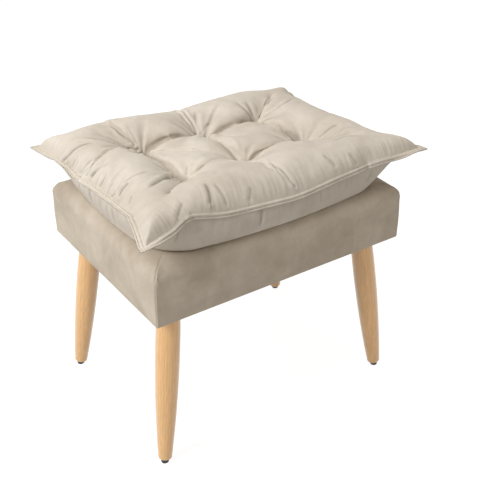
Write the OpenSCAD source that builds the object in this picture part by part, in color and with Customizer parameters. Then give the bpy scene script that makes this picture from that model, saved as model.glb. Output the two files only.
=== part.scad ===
// Footstool: an upholstered box on four splayed turned legs, with a tufted
// pillow lying on top. Millimetres, +Z up, origin on the floor under the middle.

/* [Base box] */
// Length of the covered box, along X
box_l = 500; // [440:1:600]
// Depth of the covered box, along Y
box_w = 368; // [330:1:440]
// Height of the covered box
box_h = 105; // [95:1:140]
// Height of the underside of the box above the floor
base_z = 296; // [240:1:360]
// Radius of the upright corners of the box
corner_r = 6; // [4:0.5:9]
// Radius of the corners once they have rolled over onto the top
corner_top_r = 14; // [9:0.5:20]
// Thickness of the upholstery fabric
cover_t = 1.2; // [0.8:0.1:1.6]
// Width of the fabric margin turned in under the frame
margin_w = 26; // [24:1:34]

/* [Frame] */
// Thickness of the softwood rails
rail_t = 15; // [12:0.5:20]
// Thickness of the plywood deck
deck_t = 6; // [4:0.5:9]
// Thickness of the foam slab on the deck, which rolls over at the box's top edge
foam_t = 23; // [16:0.5:30]
// Thickness of the foam sheet round the sides
pad_t = 5; // [3:0.5:8]
// Thickness of the two boards that carry the legs
board_t = 15; // [12:0.5:20]
// Width of the two boards that carry the legs
board_w = 90; // [80:1:110]
// Side of the glue blocks in the corners
block_w = 30; // [20:1:40]
// Thickness of the dust cloth under the box
dust_t = 0.8; // [0.5:0.1:1.2]
// How far the dust cloth's edge stays inside the box
dust_inset = 13; // [10:0.5:14]
// Distance from the dust cloth's edge to its staples
staple_inset = 4; // [3:0.5:5]
// Distance between staples
staple_step = 42; // [30:1:60]
// Width of a staple across its crown
staple_w = 10; // [8:0.5:13]
// Thickness of the staple wire
staple_wire = 0.8; // [0.6:0.05:1]
// Length of a staple's tines
staple_l = 9; // [6:0.5:12]
// Length of the nails that join the rails and boards
rail_nail_l = 32; // [26:1:36]
// Distance along X from a plate screw to the board nail beside it
board_nail_gap = 9; // [7:0.5:10]
// Length of the nails that hold the deck
deck_nail_l = 30; // [20:1:40]
// Radius of all the frame nails
nail_r = 1.2; // [0.9:0.1:1.6]

/* [Legs] */
// Distance of each leg's axis from the end of the box, at the box's underside
leg_inset_x = 48; // [44:1:70]
// Distance of each leg's axis from the long side of the box, at the box's underside
leg_inset_y = 46; // [42:1:70]
// Lean of each leg out towards its corner, in degrees
leg_lean = 8.8; // [0:0.1:12]
// Largest diameter of a leg
leg_d = 41; // [38:0.5:46]
// Diameter of a leg at its upper end
leg_top_d = 38.5; // [34:0.5:41]
// Diameter of a leg at its foot
leg_foot_d = 24; // [22:0.5:30]
// Share of the leg above its thickest place
leg_swell = 0.25; // [0.15:0.01:0.4]
// Radius of the eased edge at the foot
leg_ease = 3; // [1:0.25:3.5]
// Height of the glide under each leg
glide_h = 8; // [5:0.25:10]
// Diameter of the glide against the leg
glide_d = 16.5; // [14:0.5:20]
// Diameter of the glide at the floor
glide_foot_d = 13.5; // [11:0.5:14]
// Radius of the nail in each glide
glide_nail_r = 1; // [0.8:0.1:1.4]
// Length of the glide's nail inside the leg
glide_nail_l = 18; // [12:1:24]

/* [Leg fixings] */
// Side of the square steel leg plate
plate_w = 54; // [50:1:60]
// Thickness of the leg plate
plate_t = 2; // [1.5:0.25:3]
// Distance of the plate's screws from its middle, along X and Y
screw_pitch = 18; // [17:0.5:20]
// Shank radius of the plate screws
screw_r = 2; // [1.5:0.25:2.25]
// Head radius of the plate screws
screw_head_r = 4; // [3.5:0.25:4.5]
// Radius of the hanger bolt, an M8
bolt_r = 4; // [3:0.5:5]
// Length of the hanger bolt inside the leg
bolt_in_leg = 36; // [25:1:50]
// Radius of the inclined boss that the leg's top seats on
boss_r = 12; // [10:0.5:14]

/* [Pillow] */
// How far the pillow's corner tips reach past the ends of the box
tip_reach_x = 34; // [16:1:40]
// How far the pillow's corner tips reach past the long sides of the box
tip_reach_y = 17; // [8:1:25]
// Height of the pillow's seam above the top of the box
seam_rise = 56; // [40:1:66]
// Height that the puffed top would have above the seam without its tufts
crown_h = 54; // [46:1:66]
// Depth of the broad hollow round each tuft
tuft_depth = 22; // [12:1:30]
// Radius of the broad hollow round each tuft
tuft_reach = 75; // [60:1:90]
// Further depth of the pit at each tuft
pit_depth = 24; // [14:1:28]
// Radius of the pit at each tuft
pit_reach = 32; // [26:1:44]
// Height of the dimple under each tuft
dimple_h = 10; // [8:0.5:14]
// Radius of the dimple under each tuft
dimple_reach = 24; // [20:1:32]
// Distance between tufts along X
tuft_pitch_x = 120; // [100:1:140]
// Distance between tufts along Y
tuft_pitch_y = 126; // [90:1:150]
// How far each short side of the pillow is drawn in between its corners
draw_in_x = 33; // [8:1:40]
// How far each long side of the pillow is drawn in between its corners
draw_in_y = 4; // [3:1:24]
// How far the sides of the seam hang below its corner tips
seam_sag = 3; // [0:0.5:12]
// Width of the flat flange sewn round the pillow
flange_w = 9; // [6:0.5:12]
// Power by which the pillow's sides and swelling square off towards its corners
squareness = 4.4; // [3.5:0.1:6]
// Diameter of the tuft twine
twine_d = 2.4; // [1.5:0.1:3]

/* [Clearances] */
// Gap between a soft piece and what it is wrapped in
soft_gap = 0.3; // [0.2:0.05:0.4]
// Radial gap round a nail, screw, bolt or twine in its hole
fit_gap = 0.05; // [0.02:0.01:0.1]
// Radial gap round the bolt where it passes the board and the dust cloth
bolt_clear = 2; // [1:0.25:3]
// Distance that bolts and screws stop short of the board's top
tip_stop = 1.5; // [1:0.25:3]
// Gap between the leg's raised edge and its plate
leg_top_gap = 0.6; // [0.3:0.1:1.5]

/* [Hidden] */
$fn = 48;
CORNERS = [[-1, -1], [1, -1], [-1, 1], [1, 1]];

// Box levels, from the underside up
frame_z = base_z + cover_t;
box_top = base_z + box_h;
foam_z = box_top - cover_t - soft_gap - foam_t;
deck_z = foam_z - deck_t;
rail_h = deck_z - frame_z;
block_z = frame_z + board_t;

// Half sizes of the nested layers of the box
frame_x = box_l / 2 - cover_t - soft_gap - pad_t;
frame_y = box_w / 2 - cover_t - soft_gap - pad_t;
hollow_x = frame_x - rail_t;
hollow_y = frame_y - rail_t;
dust_x = box_l / 2 - dust_inset;
dust_y = box_w / 2 - dust_inset;

// Leg axis: it crosses the box's underside here, and leans along the diagonal
leg_x = box_l / 2 - leg_inset_x;
leg_y = box_w / 2 - leg_inset_y;
lean_dir = atan2(box_w, box_l);
plate_z = base_z - dust_t - plate_t;
leg_top_z = plate_z - leg_top_gap - leg_top_d / 2 * sin(leg_lean);
leg_len = (leg_top_z - glide_h) / cos(leg_lean);
bolt_above_leg = (block_z - tip_stop - leg_top_z) / cos(leg_lean) - bolt_r * tan(leg_lean);
screw_l = block_z - tip_stop - plate_z;

// Pillow levels and its plan
seam_z = box_top + seam_rise;
seam_x = box_l / 2 + tip_reach_x - flange_w;
seam_y = box_w / 2 + tip_reach_y - flange_w;
skin_t = cover_t - soft_gap / 2;
tufts = [for (i = [-1 : 1], j = [-0.5, 0.5]) [i * tuft_pitch_x, j * tuft_pitch_y]];

// Puts what is drawn along +Z from the foot of a leg onto that leg's axis
module on_leg_axis(sx, sy) {
    translate([sx * leg_x, sy * leg_y, base_z])
        rotate([0, 0, atan2(sy * sin(lean_dir), sx * cos(lean_dir))])
            rotate([0, -leg_lean, 0])
                translate([0, 0, -(base_z - glide_h) / cos(leg_lean)])
                    children();
}

// Radius of the turned leg, t running from 0 at the top to 1 at the foot
function leg_radius(t) = t < leg_swell
    ? leg_d / 2 - (leg_d - leg_top_d) / 2 * pow((leg_swell - t) / leg_swell, 2)
    : leg_d / 2 - (leg_d - leg_foot_d) / 2 * pow((t - leg_swell) / (1 - leg_swell), 2);

module leg(sx, sy) {
    steps = 16;
    ease_steps = 4;
    side_points = [for (i = [0 : steps]) let (t = 1 - i / steps)
        [leg_radius(t), leg_ease + (leg_len - leg_ease) * i / steps]];
    ease_points = [for (i = [0 : ease_steps - 1]) let (a = 90 * i / ease_steps)
        [leg_radius(1) - leg_ease * (1 - sin(a)), leg_ease * (1 - cos(a))]];
    color("burlywood") on_leg_axis(sx, sy) difference() {
        rotate_extrude() polygon(concat([[0, 0]], ease_points, side_points, [[0, leg_len]]));
        translate([0, 0, leg_len - bolt_in_leg]) cylinder(r = bolt_r + fit_gap, h = bolt_in_leg + 1);
        translate([0, 0, -1]) cylinder(r = glide_nail_r + fit_gap, h = glide_nail_l + 1);
    }
}

// Moulded glide, worn level with the floor under the leaning leg
module glide(sx, sy) {
    sink = glide_d / 2 * tan(leg_lean);
    color("black") difference() {
        on_leg_axis(sx, sy) difference() {
            translate([0, 0, -glide_h - sink])
                cylinder(d1 = glide_foot_d - sink, d2 = glide_d, h = glide_h + sink);
            translate([0, 0, -glide_h / 2]) cylinder(r = glide_nail_r + fit_gap, h = glide_h);
        }
        translate([-box_l, -box_w, -box_h]) cube([2 * box_l, 2 * box_w, box_h]);
    }
}

module glide_nails() {
    color("silver") for (c = CORNERS)
        on_leg_axis(c[0], c[1])
            translate([0, 0, -glide_h / 2])
                cylinder(r = glide_nail_r, h = glide_h / 2 + glide_nail_l);
}

// Steel plate with an inclined threaded boss that the leg's top seats on
module leg_plate(sx, sy) {
    middle = [sx * leg_x, sy * leg_y, plate_z];
    color("gray") difference() {
        union() {
            translate(middle - [plate_w / 2, plate_w / 2, 0]) cube([plate_w, plate_w, plate_t]);
            difference() {
                on_leg_axis(sx, sy) translate([0, 0, leg_len]) cylinder(r = boss_r, h = 2 * boss_r);
                translate(middle + [-plate_w, -plate_w, plate_t]) cube([2 * plate_w, 2 * plate_w, 4 * boss_r]);
            }
        }
        on_leg_axis(sx, sy) translate([0, 0, leg_len - boss_r]) cylinder(r = bolt_r + fit_gap, h = 4 * boss_r);
        plate_screw_shanks(fit_gap);
    }
}

// Everything round a plate screw is cut with this, a little larger
module plate_screw_shanks(gap) {
    for (c = CORNERS, i = [-1, 1], j = [-1, 1])
        translate([c[0] * leg_x + i * screw_pitch, c[1] * leg_y + j * screw_pitch, plate_z - gap])
            cylinder(r = screw_r + gap, h = screw_l + 2 * gap);
}

module plate_screws() {
    color("silver") {
        plate_screw_shanks(0);
        for (c = CORNERS, i = [-1, 1], j = [-1, 1])
            translate([c[0] * leg_x + i * screw_pitch, c[1] * leg_y + j * screw_pitch, plate_z])
                mirror([0, 0, 1]) cylinder(r1 = screw_head_r, r2 = screw_head_r / 2, h = screw_head_r / 2);
    }
}

module hanger_bolt(sx, sy) {
    color("silver") on_leg_axis(sx, sy)
        translate([0, 0, leg_len - bolt_in_leg])
            cylinder(r = bolt_r, h = bolt_in_leg + bolt_above_leg);
}

module bolt_holes() {
    for (c = CORNERS)
        on_leg_axis(c[0], c[1]) translate([0, 0, leg_len])
            cylinder(r = bolt_r + bolt_clear, h = bolt_above_leg + board_t);
}

module rail_long(sign) {
    color("wheat") difference() {
        translate([-frame_x, sign > 0 ? hollow_y : -frame_y, frame_z]) cube([2 * frame_x, rail_t, rail_h]);
        rail_nail_shanks(fit_gap);
        deck_nail_shanks(fit_gap);
        staples(fit_gap);
    }
}

module rail_short(sign) {
    color("wheat") difference() {
        translate([sign > 0 ? hollow_x : -frame_x, -hollow_y, frame_z]) cube([rail_t, 2 * hollow_y, rail_h]);
        rail_nail_shanks(fit_gap);
        deck_nail_shanks(fit_gap);
        staples(fit_gap);
    }
}

// Board across the frame that two leg plates are screwed to
module leg_board(sign) {
    color("tan") difference() {
        translate([sign > 0 ? hollow_x - board_w : -hollow_x, -hollow_y, frame_z])
            cube([board_w, 2 * hollow_y, board_t]);
        bolt_holes();
        rail_nail_shanks(fit_gap);
        plate_screw_shanks(fit_gap);
    }
}

module corner_block(sx, sy) {
    color("wheat") translate([
            sx > 0 ? hollow_x - block_w : -hollow_x,
            sy > 0 ? hollow_y - block_w : -hollow_y, block_z])
        cube([block_w, block_w, deck_z - block_z]);
}

module deck_panel() {
    color("tan") difference() {
        translate([-frame_x, -frame_y, deck_z]) cube([2 * frame_x, 2 * frame_y, deck_t]);
        deck_nail_shanks(fit_gap);
    }
}

// Nails through the long rails: three into each short rail's end, two into each board's end
module rail_nail_shanks(gap) {
    ends = [for (k = [1 : 3]) [frame_x - rail_t / 2, frame_z + rail_h * k / 4]];
    boards = [for (s = [-1, 1]) [leg_x + s * screw_pitch - board_nail_gap, frame_z + board_t / 2]];
    for (c = CORNERS, p = concat(ends, boards))
        translate([c[0] * p[0], c[1] * (frame_y + gap), p[1]])
            rotate([c[1] * 90, 0, 0]) cylinder(r = nail_r + gap, h = rail_nail_l + 2 * gap);
}

module rail_nails() {
    color("silver") rail_nail_shanks(0);
}

// Nails down through the deck into the rails
module deck_nail_shanks(gap) {
    along = [for (k = [1 : 4], s = [-1, 1]) [(k / 5 * 2 - 1) * frame_x, s * (frame_y - rail_t / 2)]];
    across = [for (k = [1 : 3], s = [-1, 1]) [s * (frame_x - rail_t / 2), (k / 4 * 2 - 1) * hollow_y]];
    for (p = concat(along, across))
        translate([p[0], p[1], foam_z - deck_nail_l - gap])
            cylinder(r = nail_r + gap, h = deck_nail_l + 2 * gap);
}

module deck_nails() {
    color("silver") deck_nail_shanks(0);
}

// Box with crisp upright corners that soften as its sides roll over onto the top.
// inset shrinks it evenly, so nested layers keep an even thickness.
module soft_block(inset, bottom) {
    roll_steps = 5;
    arc_steps = 5;
    roll_r = foam_t + cover_t + soft_gap;
    levels = concat([[bottom, 0]], [for (k = [0 : roll_steps]) let (a = 90 * k / roll_steps)
        [foam_z + (roll_r - inset) * sin(a), a]]);
    n = 4 * (arc_steps + 1);
    points = [for (level = levels, q = [0 : 3], k = [0 : arc_steps])
        let (a = 90 * (q + k / arc_steps), fall = 1 - cos(level[1]),
            r = corner_r - inset + (corner_top_r - corner_r) * fall,
            in = inset + (roll_r - inset) * fall + r,
            sx = q == 0 || q == 3 ? 1 : -1, sy = q < 2 ? 1 : -1)
        [sx * (box_l / 2 - in) + r * cos(a), sy * (box_w / 2 - in) + r * sin(a), level[0]]];
    top = (len(levels) - 1) * n;
    sides = [for (m = [0 : len(levels) - 2], k = [0 : n - 1], h = [0, 1])
        let (a = m * n + k, b = m * n + (k + 1) % n)
        h == 0 ? [a, b + n, b] : [a, a + n, b + n]];
    polyhedron(points = points, faces = concat(sides,
        [[for (k = [0 : n - 1]) k]], [[for (k = [n - 1 : -1 : 0]) top + k]]));
}

module deck_foam() {
    color("khaki") soft_block(cover_t + soft_gap, foam_z - 0.001);
}

module side_pad_long(sign) {
    color("khaki") translate([-frame_x, sign > 0 ? frame_y : -frame_y - pad_t, frame_z])
        cube([2 * frame_x, pad_t, foam_z - frame_z]);
}

module side_pad_short(sign) {
    color("khaki") translate([sign > 0 ? frame_x : -frame_x - pad_t, -frame_y, frame_z])
        cube([pad_t, 2 * frame_y, foam_z - frame_z]);
}

// One-piece fabric cover, darted at the corners and turned in under the frame
module base_cover() {
    color("tan") difference() {
        soft_block(0, base_z);
        soft_block(cover_t, frame_z);
        translate([margin_w - box_l / 2, margin_w - box_w / 2, base_z - cover_t])
            cube([box_l - 2 * margin_w, box_w - 2 * margin_w, 3 * cover_t]);
        staples(fit_gap);
    }
}

module dust_cloth() {
    color("black") difference() {
        translate([-dust_x, -dust_y, base_z - dust_t]) cube([2 * dust_x, 2 * dust_y, dust_t]);
        bolt_holes();
        plate_screw_shanks(fit_gap);
        staples(fit_gap);
    }
}

// Everything round a staple is cut with this, a little larger
module staple(gap) {
    wire = staple_wire;
    translate([-staple_w / 2, -wire / 2, -wire]) cube([staple_w, wire, wire]);
    for (s = [-1, 1])
        translate([s * (staple_w - wire) / 2 - wire / 2 - gap, -wire / 2 - gap, -wire])
            cube([wire + 2 * gap, wire + 2 * gap, staple_l + wire + gap]);
}

// Staples run along each side between the leg plates
module staples(gap) {
    run_x = 2 * (leg_x - plate_w / 2 - staple_w);
    run_y = 2 * (leg_y - plate_w / 2 - staple_w);
    steps_x = max(1, floor(run_x / staple_step));
    steps_y = max(1, floor(run_y / staple_step));
    for (s = [-1, 1]) {
        for (k = [0 : steps_x])
            translate([(k / steps_x - 0.5) * run_x, s * (dust_y - staple_inset), base_z - dust_t])
                staple(gap);
        for (k = [0 : steps_y])
            translate([s * (dust_x - staple_inset), (k / steps_y - 0.5) * run_y, base_z - dust_t])
                rotate([0, 0, 90]) staple(gap);
    }
}

module dust_cloth_staples() {
    color("silver") staples(0);
}

// Grid lines across the pillow, from -1 to 1 at its seam, with a line through every tuft
// and one just inside the seam, where the filling ends
function run(from, to, cells) = [for (i = [0 : cells - 1]) from + (to - from) * i / cells];
fill_edge = 0.95;
tuft_u = tuft_pitch_x / (seam_x - draw_in_x);
tuft_v = tuft_pitch_y / 2 / (seam_y - draw_in_y);
inner_u = concat(run(-fill_edge, -tuft_u, 6), run(-tuft_u, 0, 6), run(0, tuft_u, 6),
    run(tuft_u, fill_edge, 6), [fill_edge]);
inner_v = concat(run(-fill_edge, -tuft_v, 5), run(-tuft_v, tuft_v, 6), run(tuft_v, fill_edge, 5), [fill_edge]);

// Plan position: the sides are drawn in between the corners, which stay out as points
function plan(u, v) = [
    u * (seam_x - draw_in_x * (1 - pow(abs(v), squareness))),
    v * (seam_y - draw_in_y * (1 - pow(abs(u), squareness)))];

// Swelling of the pillow: 0 at the seam and 1 in the middle, steep beside the seam
function swell(u, v) = sqrt(max(0, (1 - pow(abs(u), squareness)) * (1 - pow(abs(v), squareness))));

// Height of the seam, which lifts towards the four corner tips
function edge_z(u, v) = seam_z - seam_sag * (1 - pow(abs(u * v), 3));

// How much each tuft draws a panel in at plan point p: 1 at the tuft, fading over the reach
function draws(p, reach) = [for (t = tufts) exp(-pow(norm(p - t) / reach, 2))];
function total(list) = list * [for (item = list) 1];

function top_z(u, v) = let (p = plan(u, v))
    edge_z(u, v) + cover_t + swell(u, v)
        * (crown_h - tuft_depth * total(draws(p, tuft_reach)) - pit_depth * max(draws(p, pit_reach)));
function bottom_z(u, v) = let (s = min(1, 2.1 * swell(u, v)), z = edge_z(u, v) - cover_t)
    z - (z - box_top) * s + dimple_h * max(draws(plan(u, v), dimple_reach)) * s;

// Vertical thickness for a skin of true thickness 1, from the steepest slopes of height function h
edge_step = 1 - fill_edge;
function rise(h, z, points) = max([for (p = points) abs(h(p[0], p[1]) - z)]) / edge_step;
function upright(h, u, v) = abs(u) > fill_edge || abs(v) > fill_edge ? 1 : let (
        z = h(u, v),
        du = rise(h, z, [[u - edge_step, v], [u + edge_step, v]]) / seam_x,
        dv = rise(h, z, [[u, v - edge_step], [u, v + edge_step]]) / seam_y)
    sqrt(1 + du * du + dv * dv);

// Closed solid between two height functions over a grid of plan points
module quilt(us, vs, place, upper, lower) {
    nu = len(us);
    nv = len(vs);
    count = nu * nv;
    function at(i, j) = i * nv + j;
    top_points = [for (u = us, v = vs) let (p = place(u, v)) [p[0], p[1], upper(u, v)]];
    low_points = [for (u = us, v = vs) let (p = place(u, v)) [p[0], p[1], lower(u, v)]];
    rim = concat([for (i = [0 : nu - 1]) at(i, 0)], [for (j = [1 : nv - 1]) at(nu - 1, j)],
        [for (i = [nu - 2 : -1 : 0]) at(i, nv - 1)], [for (j = [nv - 2 : -1 : 1]) at(0, j)]);
    top_faces = [for (i = [0 : nu - 2], j = [0 : nv - 2], k = [0, 1])
        k == 0 ? [at(i, j), at(i, j + 1), at(i + 1, j + 1)] : [at(i, j), at(i + 1, j + 1), at(i + 1, j)]];
    low_faces = [for (f = top_faces) [f[2] + count, f[1] + count, f[0] + count]];
    rim_faces = [for (k = [0 : len(rim) - 1], h = [0, 1]) let (a = rim[k], b = rim[(k + 1) % len(rim)])
        h == 0 ? [a, b, b + count] : [a, b + count, a + count]];
    polyhedron(points = concat(top_points, low_points), faces = concat(top_faces, low_faces, rim_faces));
}

// The panels run on past the filling to the seam, and past the seam as a flat flange
function with_flange(lines, flange) = concat([-1 - flange, -1], lines, [1, 1 + flange]);
panel_u = with_flange(inner_u, flange_w / seam_x);
panel_v = with_flange(inner_v, flange_w / seam_y);
function unit(t) = max(-1, min(1, t));
function panel_place(u, v) = plan(unit(u), unit(v)) + [(u - unit(u)) * seam_x, (v - unit(v)) * seam_y];

module pillow_top_panel() {
    color("antiquewhite") difference() {
        quilt(panel_u, panel_v, function(u, v) panel_place(u, v),
            function(u, v) top_z(unit(u), unit(v)),
            function(u, v) top_z(unit(u), unit(v))
                - skin_t * upright(function(a, b) top_z(a, b), unit(u), unit(v)));
        tuft_shanks(fit_gap);
    }
}

module pillow_bottom_panel() {
    color("antiquewhite") difference() {
        quilt(panel_u, panel_v, function(u, v) panel_place(u, v),
            function(u, v) bottom_z(unit(u), unit(v))
                + skin_t * upright(function(a, b) bottom_z(a, b), unit(u), unit(v)),
            function(u, v) bottom_z(unit(u), unit(v)));
        tuft_shanks(fit_gap);
    }
}

module pillow_fill() {
    inside = skin_t + soft_gap;
    color("ivory") difference() {
        quilt(inner_u, inner_v, function(u, v) plan(u, v),
            function(u, v) top_z(u, v) - inside * upright(function(a, b) top_z(a, b), u, v),
            function(u, v) bottom_z(u, v) + inside * upright(function(a, b) bottom_z(a, b), u, v));
        tuft_shanks(fit_gap);
    }
}

// Levels of the knots: each sits in the cone of its pit or dimple, just clear of it
knot_r = twine_d;
knot_low_z = box_top + dimple_h - knot_r * 1.15;

module tuft_shanks(gap) {
    for (t = tufts)
        translate([t[0], t[1], knot_low_z]) cylinder(d = twine_d + 2 * gap, h = seam_z + crown_h - knot_low_z);
}

// Twine through the pillow at each tuft, knotted at both ends
module tuft_ties() {
    color("ivory") for (x = [-1 : 1], y = [-1, 1]) {
        top = top_z(x * tuft_u, y * tuft_v) + knot_r * 1.15;
        translate([x * tuft_pitch_x, y * tuft_pitch_y / 2, 0]) {
            translate([0, 0, knot_low_z]) cylinder(d = twine_d, h = top - knot_low_z);
            for (z = [knot_low_z, top]) translate([0, 0, z]) sphere(r = knot_r);
        }
    }
}

leg(-1, -1);  // leg_front_left
leg(1, -1);  // leg_front_right
leg(-1, 1);  // leg_back_left
leg(1, 1);  // leg_back_right
glide(-1, -1);  // glide_front_left
glide(1, -1);  // glide_front_right
glide(-1, 1);  // glide_back_left
glide(1, 1);  // glide_back_right
glide_nails();
leg_plate(-1, -1);  // leg_plate_front_left
leg_plate(1, -1);  // leg_plate_front_right
leg_plate(-1, 1);  // leg_plate_back_left
leg_plate(1, 1);  // leg_plate_back_right
hanger_bolt(-1, -1);  // hanger_bolt_front_left
hanger_bolt(1, -1);  // hanger_bolt_front_right
hanger_bolt(-1, 1);  // hanger_bolt_back_left
hanger_bolt(1, 1);  // hanger_bolt_back_right
plate_screws();
rail_long(-1);  // rail_front
rail_long(1);  // rail_back
rail_short(-1);  // rail_left
rail_short(1);  // rail_right
leg_board(-1);  // leg_board_left
leg_board(1);  // leg_board_right
corner_block(-1, -1);  // corner_block_front_left
corner_block(1, -1);  // corner_block_front_right
corner_block(-1, 1);  // corner_block_back_left
corner_block(1, 1);  // corner_block_back_right
deck_panel();
rail_nails();
deck_nails();
deck_foam();
side_pad_long(-1);  // side_pad_front
side_pad_long(1);  // side_pad_back
side_pad_short(-1);  // side_pad_left
side_pad_short(1);  // side_pad_right
base_cover();
dust_cloth();
dust_cloth_staples();
pillow_fill();
pillow_top_panel();
pillow_bottom_panel();
tuft_ties();
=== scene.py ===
# Tufted footstool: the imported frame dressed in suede, lacquered wood, steel and plastic.
import math

import bmesh
import bpy
import numpy as np
from mathutils import Matrix, Vector, noise


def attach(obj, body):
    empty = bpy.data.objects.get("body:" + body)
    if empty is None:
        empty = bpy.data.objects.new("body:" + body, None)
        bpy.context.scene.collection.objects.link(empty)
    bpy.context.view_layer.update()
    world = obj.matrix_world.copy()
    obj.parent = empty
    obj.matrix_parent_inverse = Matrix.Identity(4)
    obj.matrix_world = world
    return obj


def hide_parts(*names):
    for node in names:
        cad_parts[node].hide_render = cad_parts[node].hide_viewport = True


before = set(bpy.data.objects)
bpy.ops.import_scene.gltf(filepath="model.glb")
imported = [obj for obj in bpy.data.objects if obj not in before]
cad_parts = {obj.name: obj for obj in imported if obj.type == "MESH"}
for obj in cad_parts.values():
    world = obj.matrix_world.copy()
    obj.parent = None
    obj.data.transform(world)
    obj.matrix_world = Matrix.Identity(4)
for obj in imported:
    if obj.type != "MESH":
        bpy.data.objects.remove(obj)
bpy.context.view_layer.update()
scene = bpy.context.scene
quarters = ((-1, -1), (1, -1), (1, 1), (-1, 1))  # the corners against the clock, from the front left
print("frame loaded")


def mix(a, b, t):
    return a + (b - a) * t


def smoothStep(t):
    t = max(0.0, min(1.0, t))
    return t * t * (3 - 2 * t)


def uneven(x, y, z):
    return noise.noise(Vector((x, y, z)))


def meshOf(name, net):
    mesh = bpy.data.meshes.new(name)
    net.to_mesh(mesh)
    return mesh


def moveVerts(net, places):
    net.verts.ensure_lookup_table()
    for vert, place in zip(net.verts, places):
        vert.co = place


def onlyVerts(geom):
    return [part for part in geom if isinstance(part, bmesh.types.BMVert)]


def openEdges(net):
    return [edge for edge in net.edges if len(edge.link_faces) == 1]


def growRing(net, ring):
    # Extrudes a ring of points once and returns the new ring in the same order.
    edges = [net.edges.get(pair) for pair in zip(ring, ring[1:] + ring[:1])]
    grown = bmesh.ops.extrude_edge_only(net, edges=edges)["geom"]
    grownSet = set(grown)
    fresh = {}
    for vert in onlyVerts(grown):
        for edge in vert.link_edges:
            other = edge.other_vert(vert)
            if other not in grownSet:
                fresh[other] = vert
    return [fresh[vert] for vert in ring]


def addPiece(name, mesh, material, replaced=()):
    piece = bpy.data.objects.new(name, mesh)
    scene.collection.objects.link(piece)
    mesh.materials.clear()
    mesh.materials.append(material)
    for polygon in mesh.polygons:
        polygon.use_smooth = True
    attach(piece, "root")
    if replaced:
        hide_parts(*replaced)
    return piece


def addCloth(piece, thickness):
    wall = piece.modifiers.new("cloth", "SOLIDIFY")
    wall.thickness = thickness
    wall.offset = -1
    return wall


# Shader nodes: an input is given as a number, a colour or another node's socket

def feed(node, inputs):
    for key, value in inputs.items():
        if isinstance(value, bpy.types.NodeSocket):
            node.id_data.links.new(value, node.inputs[key])
        else:
            node.inputs[key].default_value = value


def addNode(tree, kind, inputs=None, **settings):
    node = tree.nodes.new("ShaderNode" + kind)
    for key, value in settings.items():
        setattr(node, key, value)
    feed(node, inputs or {})
    return node


def addMath(tree, operation, *inputs):
    return addNode(tree, "Math", dict(enumerate(inputs)), operation=operation).outputs[0]


def addMapping(tree, place, scale):
    return addNode(tree, "Mapping", {"Vector": place, "Scale": scale}).outputs[0]


def addNoise(tree, place, scale, detail, roughness=0.5, distortion=0.0):
    inputs = {"Vector": place, "Scale": scale, "Detail": detail, "Roughness": roughness,
              "Distortion": distortion}
    return addNode(tree, "TexNoise", inputs).outputs["Fac"]


def addRange(tree, value, toLow, toHigh, fromLow=0.0, fromHigh=1.0):
    inputs = {"Value": value, "From Min": fromLow, "From Max": fromHigh, "To Min": toLow, "To Max": toHigh}
    return addNode(tree, "MapRange", inputs).outputs["Result"]


def addMix(tree, share, first, second, blend="MIX"):
    inputs = {"Fac": share, "Color1": first, "Color2": second}
    return addNode(tree, "MixRGB", inputs, blend_type=blend).outputs["Color"]


def addBump(tree, height, strength, distance):
    inputs = {"Height": height, "Strength": strength, "Distance": distance}
    return addNode(tree, "Bump", inputs).outputs["Normal"]


# Shared effects

def openGroup(name, inputs):
    tree = bpy.data.node_groups.new(name, "ShaderNodeTree")
    for label, kind in inputs.items():
        tree.interface.new_socket(label, in_out="INPUT", socket_type="NodeSocket" + kind)
    return tree, tree.nodes.new("NodeGroupInput").outputs


def closeGroup(tree, colour, height, rough):
    for label, kind in (("Color", "Color"), ("Height", "Float"), ("Rough", "Float")):
        tree.interface.new_socket(label, in_out="OUTPUT", socket_type="NodeSocket" + kind)
    feed(tree.nodes.new("NodeGroupOutput"), {"Color": colour, "Height": height, "Rough": rough})
    return tree


def napGroup():
    # Brushed nap of a suede cloth: soft clouds, lighter and darker hand marks, a fine fibre and painted shade
    # in the folds.
    tree, given = openGroup("brushedNap", {
        "Vector": "Vector", "Light": "Color", "Shade": "Color", "Drift": "Color",
        "Cloud": "Float", "Mark": "Float", "Fibre": "Float", "FoldCrushAndShade": "Float"})
    place = given["Vector"]
    cloud = addNoise(tree, place, given["Cloud"], 3, 0.55, 0.8)
    mark = addNoise(tree, place, given["Mark"], 5, 0.6, 1.2)
    fibre = addNoise(tree, place, given["Fibre"], 3, 0.7)
    both = addMath(tree, "MULTIPLY_ADD", mark, 0.55, cloud)
    colour = addMix(tree, addRange(tree, both, 0, 1, 0.55, 1), given["Shade"], given["Light"])
    patch = addNoise(tree, place, 5.5, 2, 0.5, 1.5)
    colour = addMix(tree, addRange(tree, patch, 0, 0.35, 0.5, 0.75), colour, given["Drift"])
    colour = addMix(tree, 1, colour, addRange(tree, fibre, 0.90, 1.06), "MULTIPLY")
    # painted shade: the colour is darker in the folds, partly the crushed nap and partly painted crease shade
    colour = addMix(tree, 1, colour, addRange(tree, given["FoldCrushAndShade"], 1, 0.50), "MULTIPLY")
    height = addMath(tree, "MULTIPLY_ADD", mark, 0.6, fibre)
    return closeGroup(tree, colour, height, addRange(tree, both, 0.80, 0.98))


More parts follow.
